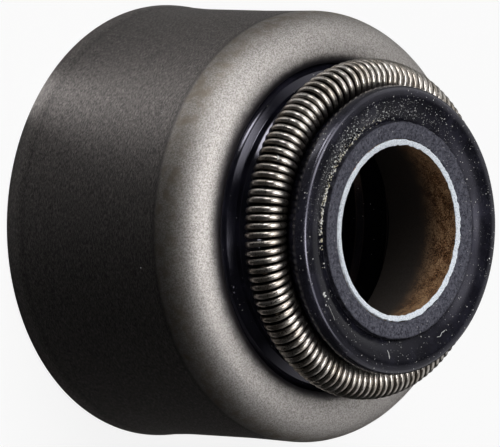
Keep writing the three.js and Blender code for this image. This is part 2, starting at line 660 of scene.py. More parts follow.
@dataclass(frozen=True)
class WireFinish:
    """Bright drawn spring wire, with painted shade on the inside of the coil that shows between the turns.

    Attributes:
        bright: colour of the rubbed outside of the turns.
        warm: colour of its browner stretches.
        dark: colour of the painted shade on the inside of the coil, seen between the turns.
        ring_radius: radius of the ring that the coil follows.
        ring_height: its height.
        coil_radius: radius of the coil to the wire's middle.
        draw_size: size of the drawing marks.
        cloud_size: size of the browner stretches.
    """

    bright: Colour = (0.560, 0.525, 0.485)
    warm: Colour = (0.400, 0.355, 0.305)
    dark: Colour = (0.030, 0.022, 0.016)
    ring_radius: float = 5.65
    ring_height: float = 11.0
    coil_radius: float = 0.66
    draw_size: float = 0.045
    cloud_size: float = 0.8

    def make(self) -> bpy.types.Material:
        """Builds the material.

        Returns:
            The material.
        """
        recipe = Recipe("spring_wire")
        draw = recipe.noise(self.draw_size, 2.0, 0.5)
        clouds = recipe.noise(self.cloud_size, 2.0, 0.5)
        radial = recipe.calc("SUBTRACT", recipe.radius(), self.ring_radius)
        axial = recipe.calc("SUBTRACT", recipe.height(), self.ring_height)
        radial_square = recipe.calc("MULTIPLY", radial, radial)
        axial_square = recipe.calc("MULTIPLY", axial, axial)
        depth = recipe.calc("SQRT", recipe.calc("ADD", radial_square, axial_square))
        # Painted shade: the side of each turn that faces the coil's own middle is darkened.
        outside = recipe.step(depth, self.coil_radius - 0.01, self.coil_radius + 0.09)
        metal = recipe.blend(recipe.step(clouds, 0.35, 0.7), self.bright, self.warm)
        metal = recipe.blend(recipe.step(draw, 0.56, 0.80, 0.0, 0.22), metal, self.dark)
        recipe.wire("Base Color", recipe.blend(outside, self.dark, metal))
        recipe.shader.inputs["Metallic"].default_value = 1.0
        recipe.wire("Roughness", recipe.step(draw, 0.3, 0.75, 0.26, 0.36))
        recipe.relief(draw, 0.0015, 0.4)
        return recipe.material


@dataclass(frozen=True)
class LinerFinish:
    """Filled fluoropolymer: a white cut edge, and a bore speckled brown by its filler, with painted shade
    further into the bore.

    Attributes:
        edge: colour of the cut edge.
        edge_shade: colour of the edge's duller grains.
        bore_shade: colour far inside the bore: painted shade, partly the liner's own duller tone.
        soil: darkest of the brown grains.
        ochre: middle grain colour.
        straw: palest grain colour.
        edge_height: height above which the cut edge starts.
        grit_size: size of the filler's grains.
        patch_size: size of the paler and darker patches.
        fade_low: height below which the bore shows only its painted shade.
        fade_high: height above which it shows its grains in full.
    """

    edge: Colour = (0.800, 0.850, 0.910)
    edge_shade: Colour = (0.430, 0.480, 0.560)
    bore_shade: Colour = (0.058, 0.050, 0.045)
    soil: Colour = (0.040, 0.014, 0.005)
    ochre: Colour = (0.300, 0.132, 0.050)
    straw: Colour = (0.700, 0.455, 0.250)
    edge_height: float = 12.482
    grit_size: float = 0.055
    patch_size: float = 0.5
    fade_low: float = 10.0
    fade_high: float = 11.9

    def make(self) -> bpy.types.Material:
        """Builds the material.

        Returns:
            The material.
        """
        recipe = Recipe("pale_liner")
        grit = recipe.noise(self.grit_size, 2.0, 0.80)
        patches = recipe.noise(self.patch_size, 2.0, 0.5)
        uneven = recipe.calc("MULTIPLY", recipe.calc("SUBTRACT", patches, 0.5), 0.35)
        mix = recipe.calc("ADD", grit, uneven)
        grains = recipe.ramp(mix, [(0.40, self.soil), (0.49, self.ochre), (0.58, self.straw)])
        # Painted shade further into the bore, where less light reaches; partly the liner's own duller
        # tone.
        lit = recipe.step(recipe.height(), self.fade_low, self.fade_high)
        bore = recipe.blend(lit, self.bore_shade, grains)
        ragged = recipe.calc("ADD", recipe.height(), recipe.calc("MULTIPLY", grit, 0.07))
        rim = recipe.step(ragged, self.edge_height + 0.018, self.edge_height + 0.040)
        cut = recipe.blend(recipe.step(grit, 0.36, 0.50), self.edge_shade, self.edge)
        recipe.wire("Base Color", recipe.blend(rim, bore, cut))
        recipe.wire("Roughness", recipe.step(grit, 0.3, 0.7, 0.45, 0.70))
        recipe.relief(grit, 0.012, 0.5)
        return recipe.material


@dataclass(frozen=True)
class LintFinish:
    """Pale crumbs of mould dust and lint.

    Attributes:
        pale: colour of the palest bits.
        yellow: colour of the yellower ones.
        spot_size: size of the changes in colour.
    """

    pale: Colour = (0.780, 0.780, 0.770)
    yellow: Colour = (0.430, 0.385, 0.240)
    spot_size: float = 0.12

    def make(self, name: str, yellow_share: float) -> bpy.types.Material:
        """Builds the material.

        Args:
            name: name of the material.
            yellow_share: largest share of the yellow colour.

        Returns:
            The material.
        """
        recipe = Recipe(name)
        spots = recipe.noise(self.spot_size, 2.0, 0.6)
        aged = recipe.step(spots, 0.35, 0.6, 0.0, yellow_share)
        recipe.wire("Base Color", recipe.blend(aged, self.pale, self.yellow))
        recipe.wire("Roughness", recipe.step(spots, 0.3, 0.7, 0.7, 0.9))
        recipe.relief(spots, 0.01, 0.5)
        return recipe.material


@dataclass
class Piece:
    """What every visible piece shares: the body that it rides on and how it is dressed.

    Attributes:
        body: name of the CAD body.
    """

    body: str = "root"

    def place(
        self, piece: bpy.types.Object, finish: bpy.types.Material, slot: Slot, *nodes: str
    ) -> bpy.types.Object:
        """Dresses a piece and ties it to the frame.

        Args:
            piece: the new object.
            finish: its material.
            slot: the record's slot that the finish stands for; not used.
            *nodes: CAD nodes that the piece stands for.

        Returns:
            The same object.
        """
        piece.data.materials.append(finish)
        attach(piece, self.body)
        if nodes:
            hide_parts(*nodes)
        log.info("%s: %d faces", piece.name, len(piece.data.polygons))
        return piece


@dataclass
class SteelShell(Piece):
    """The drawn steel cup.

    Attributes:
        wall: thickness of the steel.
        rim_radius: radius at the flared rear rim.
        rim_tuck: how far the rim's foot is drawn in.
        rim_foot: height above which the rim is at its full radius.
        rim_top: height below which it is.
        rim_round: rounding of the rim's corners.
        flare_radius: radius where the flare ends.
        flare_height: height there.
        back_radius: radius of the wall's rear part.
        back_height: height there.
        front_radius: radius of the wall's front part.
        front_height: height at which it starts.
        corner_bend: outer radius of the front corner.
        corner_height: height at which the corner starts.
        nose_inset: how far inside the corner's centre the nose curls.
        chamfer: chamfer of the rim's inner edge.
        swell: how far the drawn metal wanders over long stretches.
        ripple: how far it wanders over short ones.
        still_height: height above which it wanders in full; the foot stays flat.
        segments: faces round the shell.
    """

    wall: float = 0.8
    rim_radius: float = 8.5
    rim_tuck: float = 0.04
    rim_foot: float = 0.14
    rim_top: float = 0.40
    rim_round: float = 0.10
    flare_radius: float = 8.42
    flare_height: float = 0.8
    back_radius: float = 8.33
    back_height: float = 2.0
    front_radius: float = 8.23
    front_height: float = 6.2
    corner_bend: float = 1.53
    corner_height: float = 8.0
    nose_inset: float = 0.05
    chamfer: float = 0.22
    swell: float = 0.012
    ripple: float = 0.004
    still_height: float = 0.6
    segments: int = 320

    def profile(self) -> Profile:
        """Draws the shell's section.

        Returns:
            The section.
        """
        corner_radius = self.front_radius - self.corner_bend
        nose_bend = self.wall / 2
        nose_height = self.corner_height + self.corner_bend - nose_bend
        inner = self.front_radius - self.wall
        section = Profile()
        section.corner(self.rim_radius - self.rim_tuck, 0.0, self.rim_round)
        section.corner(self.rim_radius, self.rim_foot, self.rim_round)
        section.corner(self.rim_radius - self.rim_tuck / 2, self.rim_top, 0.12)
        section.corner(self.flare_radius, self.flare_height, 0.16)
        section.corner(self.back_radius, self.back_height, 0.8)
        section.corner(self.front_radius, self.front_height, 1.2)
        section.arc(corner_radius, self.corner_height, self.corner_bend, 0, 90, 28)
        section.arc(corner_radius - self.nose_inset, nose_height, nose_bend, 95, 270, 18)
        section.arc(corner_radius, self.corner_height, self.corner_bend - self.wall, 90, 0, 12)
        section.corner(inner, self.chamfer, 0.05)
        section.corner(inner + self.chamfer, 0.0, 0.05)
        return section

    def unevenness(self, radius: float, height: float, angle: float) -> tuple[float, float]:
        """Lets the drawn metal wander a little.

        Args:
            radius: radius on the section.
            height: height on the section.
            angle: angle about the axis, in radians.

        Returns:
            The radius and height to use.
        """
        here = Vector((math.cos(angle) * radius, math.sin(angle) * radius, height))
        wander = noise.noise(here * 0.35) * self.swell + noise.noise(here * 1.4) * self.ripple
        off_rim = min(height / self.still_height, 1.0)
        return radius + wander * off_rim, height + wander * off_rim * 0.5

    def build(self, finish: bpy.types.Material) -> bpy.types.Object:
        """Makes the shell.

        Args:
            finish: the steel.

        Returns:
            The shell.
        """
        outline = self.profile().outline()
        piece = Maker.turned("drawn_steel_shell", outline, self.segments, self.unevenness)
        return self.place(piece, finish, Slot.STEEL, "steel_shell")


@dataclass
class RubberBody(Piece):
    """The moulded rubber: lining and ribs in the shell, collar, neck, spring seat and head.

    Attributes:
        shell: the shell that it is moulded into.
        gap: gap kept to the pieces around it.
        start_height: height of the lining's rear end.
        socket_radius: radius of the guide socket.
        rib_radius: radius inside the grip ribs.
        rib_first: height of the first rib.
        rib_pitch: distance between ribs.
        rib_count: number of ribs.
        rib_foot: half width of a rib at its foot.
        stop_height: height of the stop for the guide.
        collar_radius: radius of the collar in the shell's hole.
        collar_height: height of the collar's top.
        ridge_radius: radius of the ridge above the collar.
        ridge_height: height of the ridge's top.
        neck_radius: radius of the neck.
        neck_height: height of the neck.
        seat_bend: radius of the spring's seat.
        spring_radius: radius of the ring that the spring follows.
        spring_height: its height.
        lip_radius: radius at the foot of the lip over the spring.
        lip_height: height there.
        crest_radius: distance of the crest's centre from the axis.
        crest_height: height of the crest's centre.
        crest_bend: radius of the crest's round.
        edge_radius: radius of the centre of the crest's tighter outer edge.
        edge_height: its height.
        edge_bend: radius of that edge.
        crest_top: radius, height and rounding where the crest is highest.
        dish_slope: the same half way down the dish.
        dish_foot: radius where the dish reaches its floor.
        dish_height: height of the dish's floor.
        inner_ring_radius: outer radius of the cut ring.
        inner_ring_height: its height.
        mouth_radius: radius of the liner's seat at the mouth.
        mouth_height: height of the seat's edge.
        throat_radius: radius of the liner's seat at the stop.
        tear_reach: how far from the cut ring's edge it is torn.
        tear_coarse: depth of the edge's long tears.
        tear_fine: depth of its short ones.
        skin_swell: how far the moulded skin wanders.
        segments: faces round the rubber.
    """

    shell: SteelShell = field(default_factory=SteelShell)
    gap: float = 0.03
    start_height: float = 0.6
    socket_radius: float = 6.78
    rib_radius: float = 6.45
    rib_first: float = 2.4
    rib_pitch: float = 1.7
    rib_count: int = 3
    rib_foot: float = 0.45
    stop_height: float = 8.0
    collar_radius: float = 6.1
    collar_height: float = 9.55
    ridge_radius: float = 5.7
    ridge_height: float = 9.95
    neck_radius: float = 5.33
    neck_height: float = 10.15
    seat_bend: float = 0.81
    spring_radius: float = 5.65
    spring_height: float = 11.0
    lip_radius: float = 5.31
    lip_height: float = 11.95
    crest_radius: float = 4.98
    crest_height: float = 12.29
    crest_bend: float = 0.45
    edge_radius: float = 5.165
    edge_height: float = 12.44
    edge_bend: float = 0.24
    crest_top: Triple = (4.97, 12.695, 0.20)
    dish_slope: Triple = (4.55, 12.58, 0.30)
    dish_foot: float = 4.24
    dish_height: float = 12.36
    inner_ring_radius: float = 4.07
    inner_ring_height: float = 12.58
    mouth_radius: float = 3.433
    mouth_height: float = 12.51
    throat_radius: float = 4.68
    tear_reach: float = 0.25
    tear_coarse: float = 0.05
    tear_fine: float = 0.03
    skin_swell: float = 0.006
    segments: int = 360

    def outside(self, section: Profile) -> None:
        """Draws the lining's back, the part in the shell's hole, the collar and the neck.

        Args:
            section: the section that gets the points.
        """
        shell = self.shell
        outer = shell.front_radius - shell.wall - self.gap
        corner_radius = shell.front_radius - shell.corner_bend
        nose_bend = shell.wall / 2
        nose_height = shell.corner_height + shell.corner_bend - nose_bend
        section.corner(outer, self.start_height, 0.1)
        corner_bend = shell.corner_bend - shell.wall - self.gap
        section.arc(corner_radius, shell.corner_height, corner_bend, 0, 90, 8)
        section.arc(corner_radius - shell.nose_inset, nose_height, nose_bend + self.gap, 270, 180, 8)
        section.corner(self.collar_radius, nose_height + 0.12, 0.05)
        section.corner(self.collar_radius + 0.03, self.collar_height - 0.34, 0.04)
        section.corner(self.collar_radius - 0.07, self.collar_height - 0.22, 0.04)
        section.corner(self.ridge_radius + 0.06, self.collar_height - 0.04, 0.04)
        section.corner(self.ridge_radius + 0.04, self.ridge_height - 0.18, 0.03)
        section.corner(self.ridge_radius - 0.12, self.ridge_height + 0.02, 0.04)
        section.corner(self.neck_radius, self.neck_height, 0.08)

    def head(self, section: Profile) -> None:
        """Draws the spring's seat, the lip over it, the crest, the dish and the cut ring.

        Args:
            section: the section that gets the points.
        """
        section.arc(self.spring_radius, self.spring_height, self.seat_bend, 245, 128, 16)
        section.corner(self.lip_radius, self.lip_height, 0.12)
        section.arc(self.crest_radius, self.crest_height, self.crest_bend, -12, 14, 4)
        section.arc(self.edge_radius, self.edge_height, self.edge_bend, 16, 74, 14)
        section.corner(*self.crest_top)
        section.corner(*self.dish_slope)
        section.corner(self.dish_foot, self.dish_height + 0.06, 0.16)
        section.corner(self.inner_ring_radius, self.dish_height, 0.02)
        section.corner(self.inner_ring_radius, self.inner_ring_height, 0.05)
        section.corner(self.mouth_radius + 0.3, self.inner_ring_height - 0.02, 0.1)
        section.corner(self.mouth_radius, self.mouth_height, 0.02)

    def socket(self, section: Profile) -> None:
        """Draws the liner's seat, the stop and the ribbed socket.

        Args:
            section: the section that gets the points.
        """
        section.corner(self.throat_radius, self.stop_height + 0.12, 0.0)
        section.corner(self.throat_radius + 0.12, self.stop_height, 0.05)
        section.corner(self.socket_radius, self.stop_height, 0.35)
        for i in reversed(range(self.rib_count)):
            middle = self.rib_first + i * self.rib_pitch
            section.corner(self.socket_radius, middle + self.rib_foot, 0.1)
            section.corner(self.rib_radius, middle + 0.12, 0.12)
            section.corner(self.rib_radius, middle - 0.12, 0.12)
            section.corner(self.socket_radius, middle - self.rib_foot, 0.1)
        section.corner(self.socket_radius, self.start_height, 0.12)

    def raggedness(self, radius: float, height: float, angle: float) -> tuple[float, float]:
        """Makes the cut ring's edge ragged and the moulded skin a little uneven.

        Args:
            radius: radius on the section.
            height: height on the section.
            angle: angle about the axis, in radians.

        Returns:
            The radius and height to use.
        """
        off_edge = abs(radius - self.inner_ring_radius) / self.tear_reach
        on_face = height > self.dish_height - 0.05
        near_edge = max(0.0, 1.0 - off_edge) if on_face else 0.0
        here = Vector((math.cos(angle) * radius, math.sin(angle) * radius, height))
        tear = noise.noise(here * 3.1) * self.tear_coarse + noise.noise(here * 9.0) * self.tear_fine
        swell = noise.noise(here * 0.8) * self.skin_swell
        return radius + tear * near_edge + swell, height + tear * near_edge * 0.4

    def build(self, finish: bpy.types.Material) -> bpy.types.Object:
        """Makes the rubber body.

        Args:
            finish: the rubber.

        Returns:
            The rubber body.
        """
        section = Profile()
        self.outside(section)
        self.head(section)
        self.socket(section)
        piece = Maker.turned("moulded_rubber_body", section.outline(), self.segments, self.raggedness)
        return self.place(piece, finish, Slot.RUBBER, "rubber_body")


@dataclass
class GarterSpring(Piece):
    """The close-wound coil that closes to a ring round the head.

    Attributes:
        ring_radius: radius of the ring that the coil follows.
        height: its height.
        coil_radius: radius of the coil to the wire's middle.
        wire_radius: radius of the wire.
        turns: number of turns.
        joint_turns: turns drawn apart where the ends are screwed together.
        joint_stretch: angle that they take more, in degrees.
        joint_start: angle at which they start, in degrees.
        steps: sections in each turn.
        sides: points in each section.
        sway: how much each turn may lean from its place, in degrees.
        seed: seed of that lean.
    """

    ring_radius: float = 5.65
    height: float = 11.0
    coil_radius: float = 0.66
    wire_radius: float = 0.123
    turns: int = 120
    joint_turns: int = 7
    joint_stretch: float = 3.85
    joint_start: float = -164.2
    steps: int = 30
    sides: int = 10
    sway: float = 0.16
    seed: int = 7

    def centre(self, turn: float, leans: list[float]) -> Vector:
        """Gives a point of the wire's centre line.

        Args:
            turn: how many turns from the joint.
            leans: lean of each turn, in degrees.

        Returns:
            The point, in metres.
        """
        pitch = (360 - self.joint_stretch) / self.turns
        stretch = self.joint_stretch * min(turn / self.joint_turns, 1.0)
        first = int(turn) % self.turns
        share = turn - int(turn)
        lean = leans[first] * (1 - share) + leans[(first + 1) % self.turns] * share
        around = math.radians(self.joint_start + turn * pitch + stretch + lean)
        twist = -2 * math.pi * turn
        radius = self.ring_radius + self.coil_radius * math.cos(twist)
        rise = self.height + self.coil_radius * math.sin(twist)
        return Vector((radius * math.cos(around), radius * math.sin(around), rise)) * MM

    def build(self, finish: bpy.types.Material) -> bpy.types.Object:
        """Makes the spring.

        Args:
            finish: the wire.

        Returns:
            The spring.
        """
        lot = random.Random(self.seed)
        leans = [lot.uniform(-self.sway, self.sway) for _ in range(self.turns)]
        count = self.turns * self.steps
        points = [self.centre(i / self.steps, leans) for i in range(count)]
        work = bmesh.new()
        sections = []
        for i, point in enumerate(points):
            along = (points[(i + 1) % count] - points[i - 1]).normalized()
            flat = Vector((point.x, point.y, 0.0)).normalized() * self.ring_radius * MM
            middle = flat + Vector((0.0, 0.0, self.height * MM))
            outward = (point - middle).normalized()
            across = along.cross(outward).normalized()
            up = across.cross(along).normalized()
            sections.append(Maker.ring_section(work, point, up, across, self.wire_radius * MM, self.sides))
        for i, section in enumerate(sections):
            Maker.bridge(work, section, sections[(i + 1) % count])
        piece = Maker.finish_mesh("wound_garter_spring", work, sharp_degrees=80.0)
        return self.place(piece, finish, Slot.WIRE, "garter_spring")


@dataclass
class StemLiner(Piece):
    """The thin cone that lines the mouth, with its bevelled cut edge.

    Attributes:
        wall: thickness of the liner.
        mouth_radius: inner radius at the mouth.
        mouth_height: height there.
        edge_radius: outer radius of the cut edge.
        edge_height: height there.
        rear_radius: inner radius at the rear.
        rear_height: height there.
        tear_reach: how far from the cut edge the liner is torn.
        tear_coarse: depth of the edge's long tears.
        tear_fine: depth of its short ones.
        segments: faces round the liner, enough for its ragged edge.
    """

    wall: float = 0.28
    mouth_radius: float = 3.185
    mouth_height: float = 12.507
    edge_radius: float = 3.403
    edge_height: float = 12.554
    rear_radius: float = 4.38
    rear_height: float = 7.96
    tear_reach: float = 0.25
    tear_coarse: float = 0.022
    tear_fine: float = 0.034
    segments: int = 640

    def raggedness(self, radius: float, height: float, angle: float) -> tuple[float, float]:
        """Makes the cut edge a little ragged.

        Args:
            radius: radius on the section.
            height: height on the section.
            angle: angle about the axis, in radians.

        Returns:
            The radius and height to use.
        """
        near_edge = max(0.0, 1.0 - abs(height - self.edge_height) / self.tear_reach)
        here = Vector((math.cos(angle) * radius, math.sin(angle) * radius, height))
        tear = noise.noise(here * 3.0) * self.tear_coarse + noise.noise(here * 7.0) * self.tear_fine
        return radius + tear * near_edge, height + tear * near_edge * 0.6

    def build(self, finish: bpy.types.Material) -> bpy.types.Object:
        """Makes the liner.

        Args:
            finish: the liner's material.

        Returns:
            The liner.
        """
        section = Profile()
        section.corner(self.rear_radius, self.rear_height, 0.04)
        section.corner(self.rear_radius + self.wall, self.rear_height, 0.1)
        section.corner(self.edge_radius, self.edge_height - 0.05, 0.02)
        section.corner(self.edge_radius - 0.02, self.edge_height, 0.015)
        section.corner(self.mouth_radius, self.mouth_height, 0.02)
        section.corner(self.mouth_radius + 0.12, self.mouth_height - 0.4)
        outline = section.outline()
        piece = Maker.turned("speckled_stem_liner", outline, self.segments, self.raggedness)
        return self.place(piece, finish, Slot.LINER, "stem_liner")


@dataclass
class Debris(Piece):
    """Trimming crumbs, dust and lint that lie on the face, and the stub of the moulding sprue.

    Attributes:
        rubber: the rubber body that they lie on.
        seed: seed of their places.
        crumbs: number of crumbs along the foot of the cut ring.
        crumb_arc: first, last and likeliest angle of the crumbs, in degrees.
        crumb_spread: how far they lie from the ring.
        crumb_sizes: smallest and largest radius of a crumb.
        specks: number of dust specks on the dish.
        speck_arc: first, last and likeliest angle of the specks, in degrees.
        speck_band: least, greatest and likeliest distance of the specks from the axis.
        speck_sizes: least radius of a speck, its usual excess and its greatest radius.
        strays: number of specks anywhere on the face.
        stray_band: least and greatest distance of the strays from the axis.
        wall_specks: number of specks on the shell.
        wall_arc: first and last angle of those, in degrees.
        wall_band: their least and greatest height.
        shell_radius: radius of the shell where they lie.
        bits: x, y and size of the larger bits of lint on the face.
        fibres: width, and x and y of the points, of each fibre.
        snag_radius: radius of the tuft caught on the spring.
        snag_angle: its angle, in degrees.
        snag_height: its height.
        sprue_angle: angle of the sprue's stub on the collar, in degrees.
    """

    rubber: RubberBody = field(default_factory=RubberBody)
    seed: int = 11
    crumbs: int = 240
    crumb_arc: Triple = (-172.0, -64.0, -102.0)
    crumb_spread: float = 0.13
    crumb_sizes: tuple[float, float] = (0.010, 0.036)
    specks: int = 820
    speck_arc: Triple = (-240.0, -84.0, -132.0)
    speck_band: Triple = (4.12, 5.10, 4.3)
    speck_sizes: Triple = (0.005, 0.004, 0.022)
    strays: int = 220
    stray_band: tuple[float, float] = (4.2, 5.2)
    wall_specks: int = 30
    wall_arc: tuple[float, float] = (-175.0, -10.0)
    wall_band: tuple[float, float] = (2.4, 7.6)
    shell_radius: float = 8.24
    bits: tuple[Triple, ...] = (
        (2.45, -4.19, 0.060),
        (2.85, -4.06, 0.046),
        (2.62, -3.86, 0.034),
        (2.52, -4.10, 0.048),
    )
    fibres: tuple[tuple[float, tuple[tuple[float, float], ...]], ...] = (
        (0.022, ((4.47, -0.46), (4.66, -0.42), (4.84, -0.44))),
        (0.020, ((3.96, 2.26), (3.93, 2.44), (3.80, 2.52), (3.74, 2.64), (3.69, 2.70))),
        (0.012, ((2.85, -3.89), (3.16, -3.66), (3.46, -3.48))),
    )
    snag_radius: float = 6.22
    snag_angle: float = -113.8
    snag_height: float = 11.50
    sprue_angle: float = -66.3

    def face_height(self, radius: float) -> float:
        """Finds the height of the face at a radius, in millimetres.

        Args:
            radius: distance from the axis, in millimetres.

        Returns:
            The height of the rubber there.
        """
        section = Profile()
        self.rubber.head(section)
        line = [point for point in section.outline() if point[1] > FACE_START]
        for (r1, z1), (r2, z2) in zip(line, line[1:]):
            if min(r1, r2) <= radius <= max(r1, r2) and abs(r1 - r2) > 1e-6:
                return z1 + (z2 - z1) * (radius - r1) / (r2 - r1)
        return self.rubber.dish_height

    def crumb(self, work: bmesh.types.BMesh, place: Vector, size: float, lot: random.Random) -> None:
        """Adds one lumpy crumb.

        Args:
            work: the bmesh that gets it.
            place: its middle, in millimetres.
            size: its radius, in millimetres.
            lot: the source of its shape.
        """
        made = bmesh.ops.create_icosphere(work, subdivisions=1, radius=size * MM)
        squash = Vector((lot.uniform(0.6, 1.5), lot.uniform(0.6, 1.5), lot.uniform(0.5, 1.0)))
        turn = Matrix.Rotation(lot.uniform(0.0, 6.28), 3, "Z")
        for vert in made["verts"]:
            lump = 1.0 + lot.uniform(-0.35, 0.35)
            vert.co = turn @ (vert.co * squash * lump) + place * MM

    def fibre(
        self, work: bmesh.types.BMesh, points: tuple[tuple[float, float], ...], width: float
    ) -> None:
        """Adds one fibre that follows points on the face.

        Args:
            work: the bmesh that gets it.
            points: x and y of the points, in millimetres.
            width: its thickness, in millimetres.
        """
        path = []
        for first, second in zip(points, points[1:]):
            for k in range(5):
                x = first[0] + (second[0] - first[0]) * k / 5
                y = first[1] + (second[1] - first[1]) * k / 5
                path.append(Vector((x, y, self.face_height(math.hypot(x, y)) + width * 0.6)) * MM)
        sections = []
        for i, point in enumerate(path):
            along = (path[min(i + 1, len(path) - 1)] - path[max(i - 1, 0)]).normalized()
            across = along.cross(Vector((0.0, 0.0, 1.0))).normalized()
            thin = width * MM * 0.5 * (0.35 if i in (0, len(path) - 1) else 1.0)
            sections.append(Maker.ring_section(work, point, across, along.cross(across), thin, 5))
        for first, second in zip(sections, sections[1:]):
            Maker.bridge(work, first, second)
        work.faces.new(sections[0])
        work.faces.new(list(reversed(sections[-1])))

    def on_face(self, radius: float, angle: float, rise: float) -> Vector:
        """Gives a place a little above the face, in millimetres, its angle in radians."""
        height = self.face_height(radius) + rise
        return Vector((radius * math.cos(angle), radius * math.sin(angle), height))

    def trimmings(self, finish: bpy.types.Material) -> bpy.types.Object:
        """Makes the yellowish crumbs at the foot of the cut ring.

        Args:
            finish: their material.

        Returns:
            The crumbs, as one piece.
        """
        lot = random.Random(self.seed)
        work = bmesh.new()
        for _ in range(self.crumbs):
            angle = math.radians(lot.triangular(*self.crumb_arc))
            radius = self.rubber.inner_ring_radius + abs(lot.gauss(0.0, self.crumb_spread)) + 0.03
            size = lot.uniform(*self.crumb_sizes)
            self.crumb(work, self.on_face(radius, angle, size * 0.4), size, lot)
        piece = Maker.finish_mesh("trimming_crumbs", work)
        return self.place(piece, finish, Slot.LINER)

    def lint(self, finish: bpy.types.Material) -> bpy.types.Object:
        """Makes the dust specks and fibres on the face and the specks on the shell.

        Args:
            finish: their material.

        Returns:
            The lint, as one piece.
        """
        lot = random.Random(self.seed + 1)
        least, excess, most = self.speck_sizes
        work = bmesh.new()
        for i in range(self.specks + self.strays):
            if i < self.specks:
                angle = math.radians(lot.triangular(*self.speck_arc))
                radius = lot.triangular(*self.speck_band)
            else:
                angle = math.radians(lot.uniform(-180.0, 180.0))
                radius = lot.uniform(*self.stray_band)
            size = min(least + lot.expovariate(1.0) * excess, most)
            self.crumb(work, self.on_face(radius, angle, size * 0.3), size, lot)
        for x, y, size in self.bits:
            height = self.face_height(math.hypot(x, y)) + size * 0.4
            self.crumb(work, Vector((x, y, height)), size, lot)
        for width, points in self.fibres:
            self.fibre(work, points, width)
        for i in range(4):
            angle = math.radians(self.snag_angle + 0.35 * i)
            side = Vector((math.cos(angle), math.sin(angle), 0.0)) * self.snag_radius
            rise = Vector((0.0, 0.0, self.snag_height + 0.05 * (i % 2)))
            self.crumb(work, side + rise, lot.uniform(0.03, 0.05), lot)
        for _ in range(self.wall_specks):
            angle = math.radians(lot.uniform(*self.wall_arc))
            side = Vector((math.cos(angle), math.sin(angle), 0.0)) * self.shell_radius
            rise = Vector((0.0, 0.0, lot.uniform(*self.wall_band)))
            self.crumb(work, side + rise, lot.uniform(0.008, 0.020), lot)
        piece = Maker.finish_mesh("dust_and_lint", work)
        return self.place(piece, finish, Slot.LINER)

    def sprue(self, finish: bpy.types.Material) -> bpy.types.Object:
        """Makes the broken stub of the moulding sprue on the collar's edge.

        Args:
            finish: its material.

        Returns:
            The stub.
        """
        lot = random.Random(self.seed + 2)
        work = bmesh.new()
        collar = self.rubber.collar_radius
        for i in range(7):
            angle = math.radians(self.sprue_angle + lot.uniform(-1.5, 1.5))
            height = self.rubber.collar_height - 0.02 - 0.05 * i
            radius = collar - (0.10 if i == 0 else 0.0)
            place = Vector((radius * math.cos(angle), radius * math.sin(angle), height))
            self.crumb(work, place, lot.uniform(0.035, 0.06), lot)
        piece = Maker.finish_mesh("sprue_stub", work)
        return self.place(piece, finish, Slot.RUBBER)

    def build(self, finish: LintFinish, rubber: bpy.types.Material) -> None:
        """Makes all of the debris.

        Args:
            finish: colours of the crumbs and the lint.
            rubber: the rubber's material, for the sprue's stub.
        """
        self.trimmings(finish.make("trimming_crumbs", 0.9))
        self.lint(finish.make("dust_and_lint", 0.10))
        self.sprue(rubber)


@dataclass(frozen=True)
class CameraView:
    """Where the photograph was taken from.

    Attributes:
        distance: from the camera to the aim, in millimetres.
        elevation: angle above the surface, in degrees.
        azimuth: angle about +Z, in degrees.
        roll: how far the camera is turned about its line of sight, in degrees.
        aim: the point in the picture's middle, in millimetres.
        lens: focal length.
        sensor: width of the sensor.
    """

    distance: float = 154.89
    elevation: float = 44.206
    azimuth: float = -90.0
    roll: float = 92.489
    aim: Triple = (-0.016, 0.0, 4.698)
    lens: float = 288.0
    sensor: float = 36.0

    def build(self) -> bpy.types.Object:
        """Makes the camera and sets it as the scene's.

        Returns:
            The camera.
        """
        away = direction(self.azimuth, self.elevation)
        side = Vector((0.0, 0.0, 1.0)).cross(away).normalized()
        top = away.cross(side)
        roll = math.radians(self.roll)
        right = side * math.cos(roll) + top * math.sin(roll)
        up = away.cross(right)
        data = bpy.data.cameras.new("camera")
        data.lens = self.lens
        data.sensor_width = self.sensor
        data.clip_start = 0.01
        camera = bpy.data.objects.new("camera", data)
        turn = Matrix((right, up, away)).transposed().to_4x4()
        spot = (Vector(self.aim) + away * self.distance) * MM
        camera.matrix_world = Matrix.Translation(spot) @ turn
        bpy.context.scene.collection.objects.link(camera)
        bpy.context.scene.camera = camera
        log.info("camera placed")
        return camera


@dataclass(frozen=True)
class SoftLamp:
    """A square softbox that faces the seal. It lights matt surfaces; the tent serves the shiny ones.

    Attributes:
        name: name of the lamp.
        azimuth: its direction about +Z, in degrees.
        elevation: its direction above the floor, in degrees.
        distance: from the seal, in metres.
        size: its edge, in metres.
        glow: brightness of its face.
        target: height on the seal's axis that it faces, in metres.
    """

    name: str
    azimuth: float
    elevation: float
    distance: float
    size: float
    glow: float
    target: float = 0.006

    def build(self) -> bpy.types.Object:
        """Makes the lamp.

        Returns:
            The lamp.
        """
        data = bpy.data.lights.new(self.name, "AREA")
        data.shape = "SQUARE"
        data.size = self.size
        data.energy = self.glow * math.pi * self.size ** 2
        lamp = bpy.data.objects.new(self.name, data)
        away = direction(self.azimuth, self.elevation)
        lamp.location = away * self.distance + Vector((0.0, 0.0, self.target))
        lamp.rotation_euler = away.to_track_quat("Z", "Y").to_euler()
        lamp.visible_glossy = False
        bpy.context.scene.collection.objects.link(lamp)
        return lamp


@dataclass(frozen=True)
class Spot:
    """A round soft panel on the tent's dome.

    Attributes:
        azimuth: its direction about +Z, in degrees.
        elevation: its direction above the floor, in degrees.
        reach: angular radius at which it has faded to half, in degrees.
        glow: brightness of its middle.
    """

    azimuth: float
    elevation: float
    reach: float
    glow: float

    def share(self, way: Vector) -> float:
        """Gives the brightness that the spot adds in a direction."""
        off = math.degrees(way.angle(direction(self.azimuth, self.elevation)))
        return self.glow * (1.0 - smooth(off, self.reach * 0.5, self.reach * 1.5))


